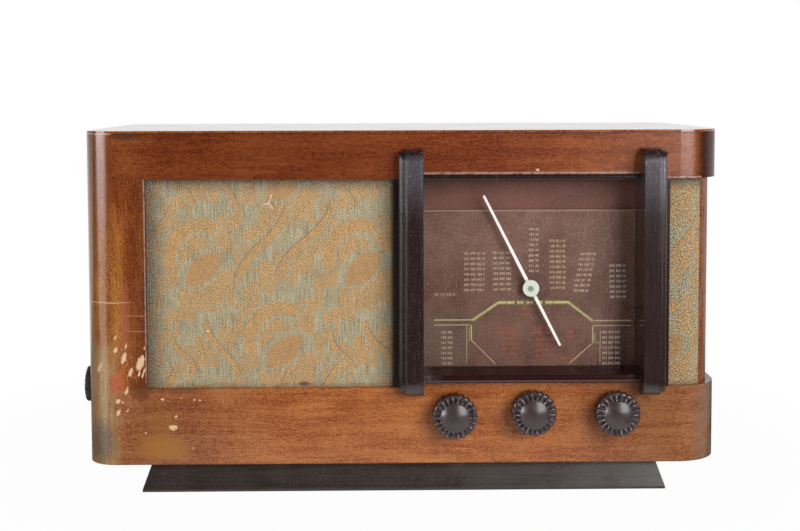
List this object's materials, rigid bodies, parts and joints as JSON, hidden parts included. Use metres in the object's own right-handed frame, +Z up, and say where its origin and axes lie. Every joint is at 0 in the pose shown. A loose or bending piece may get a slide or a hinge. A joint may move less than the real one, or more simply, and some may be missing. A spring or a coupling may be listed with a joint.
{
  "type": "table radio receiver",
  "caption": "Wooden table radio with rounded ends, a cloth grille, a recessed dial with a pointer between upright bars, round knobs and a sloping plinth.",
  "frame": {"origin": "centre of the rectangle of the plinth's underside, which is the floor under the cabinet's middle", "axes": "+Z up, -Y towards the listener (the front), +X to the listener's right, along the cabinet's length"},
  "size_m": [0.5785, 0.2815, 0.319],
  "materials": {
    "veneer": "high gloss lacquer over figured red-brown veneer, with worn patches",
    "bare_plywood": "plain, unfinished",
    "dark_lacquer": "gloss black-brown lacquer",
    "sill_lacquer": "gloss dark red lacquer, dusty at the ends",
    "grille_cloth": "woven, sage ground with golden leaf pattern",
    "hardboard": "matte brown fibreboard",
    "dial_board": "matte brown-red paint",
    "scale_glass": "dusty, printed with yellow-green and red marks",
    "bakelite": "dark brown, polished and a little dulled",
    "pointer_paint": "pale cream-green enamel",
    "steel": "bright zinc plate",
    "chassis_plate": "grey cadmium plate, dull",
    "brass": "plain, slightly dull",
    "alloy": "drawn, satin",
    "black_iron": "black paint over laminations",
    "magnet_paint": "blue-grey paint",
    "cone_paper": "pressed black paper",
    "cord": "waxed linen cord",
    "rubber": "matte",
    "laminate": "brown paper laminate",
    "control_case": "dark moulded case",
    "valve_glass": "clear with a silvered top",
    "lamp_glass": "clear"
  },
  "bodies": {
    "cabinet": {"plinth": "dark_lacquer", "bottom_panel": "bare_plywood", "left_side": "veneer", "right_side": "veneer", "top_panel": "veneer", "top_band": "veneer", "bottom_band": "veneer", "left_stile": "veneer", "mullions": "dark_lacquer", "left_fin_bar": "dark_lacquer", "right_fin_bar": "dark_lacquer", "dial_top_rail": "dark_lacquer", "dial_sill": "sill_lacquer", "speaker_baffle": "bare_plywood", "corner_baffle": "bare_plywood", "speaker_cloth": "grille_cloth", "corner_cloth": "grille_cloth", "cover_cleats": "bare_plywood", "rear_cover": "hardboard", "wood_screws": "steel", "dial_backing": "dial_board", "scale_plate": "scale_glass", "lamp_holders": "brass", "dial_lamps": "lamp_glass", "drive_cord": "cord", "gang_frame": "chassis_plate", "gang_stators": "alloy", "gang_pedestal": "chassis_plate", "tuning_bush": "brass", "volume_control": "control_case", "waveband_switch": "laminate", "tone_control": "control_case", "control_nuts": "brass", "chassis": "chassis_plate", "machine_bolts": "steel", "chassis_feet": "rubber", "mains_transformer": "black_iron", "output_transformer": "black_iron", "smoothing_capacitor": "alloy", "valve_holders": "bakelite", "valves": "valve_glass", "coil_cans": "alloy", "socket_strips": "laminate", "mains_grommet": "rubber", "speaker_frame": "steel", "speaker_cone": "cone_paper", "speaker_magnet": "magnet_paint"},
    "dial_drive": {"pointer": "pointer_paint", "pointer_screw": "brass", "drive_drum": "alloy", "drum_spring": "steel", "gang_rotor": "alloy"},
    "tuning": {"tuning_spindle": "steel", "tuning_knob": "bakelite"},
    "volume": {"volume_spindle": "steel", "volume_knob": "bakelite"},
    "waveband": {"waveband_spindle": "steel", "waveband_knob": "bakelite"},
    "tone": {"tone_spindle": "steel", "tone_knob": "bakelite"}
  },
  "joints": [
    {"name": "dial_turn", "type": "hinge", "parent": "cabinet", "child": "dial_drive", "pos_m": [0.113, -0.1, 0.1778], "axis": [0, 1, 0], "range_deg": [-63, 117], "deforming": ["drive_cord"]},
    {"name": "tuning_turn", "type": "hinge", "parent": "cabinet", "child": "tuning", "pos_m": [0.113, -0.1, 0.0717], "axis": [0, 1, 0], "range_deg": [-640, 1187]},
    {"name": "volume_turn", "type": "hinge", "parent": "cabinet", "child": "volume", "pos_m": [0.044, -0.1, 0.0693], "axis": [0, 1, 0], "range_deg": [-150, 150]},
    {"name": "waveband_turn", "type": "hinge", "parent": "cabinet", "child": "waveband", "pos_m": [0.1865, -0.1, 0.0708], "axis": [0, 1, 0], "range_deg": [-30, 60]},
    {"name": "tone_turn", "type": "hinge", "parent": "cabinet", "child": "tone", "pos_m": [-0.28, -0.04, 0.0785], "axis": [1, 0, 0], "range_deg": [-140, 140]}
  ],
  "couplings": [
    {"joint": "tuning_turn", "follows": "dial_turn", "ratio": 10.118}
  ]
}
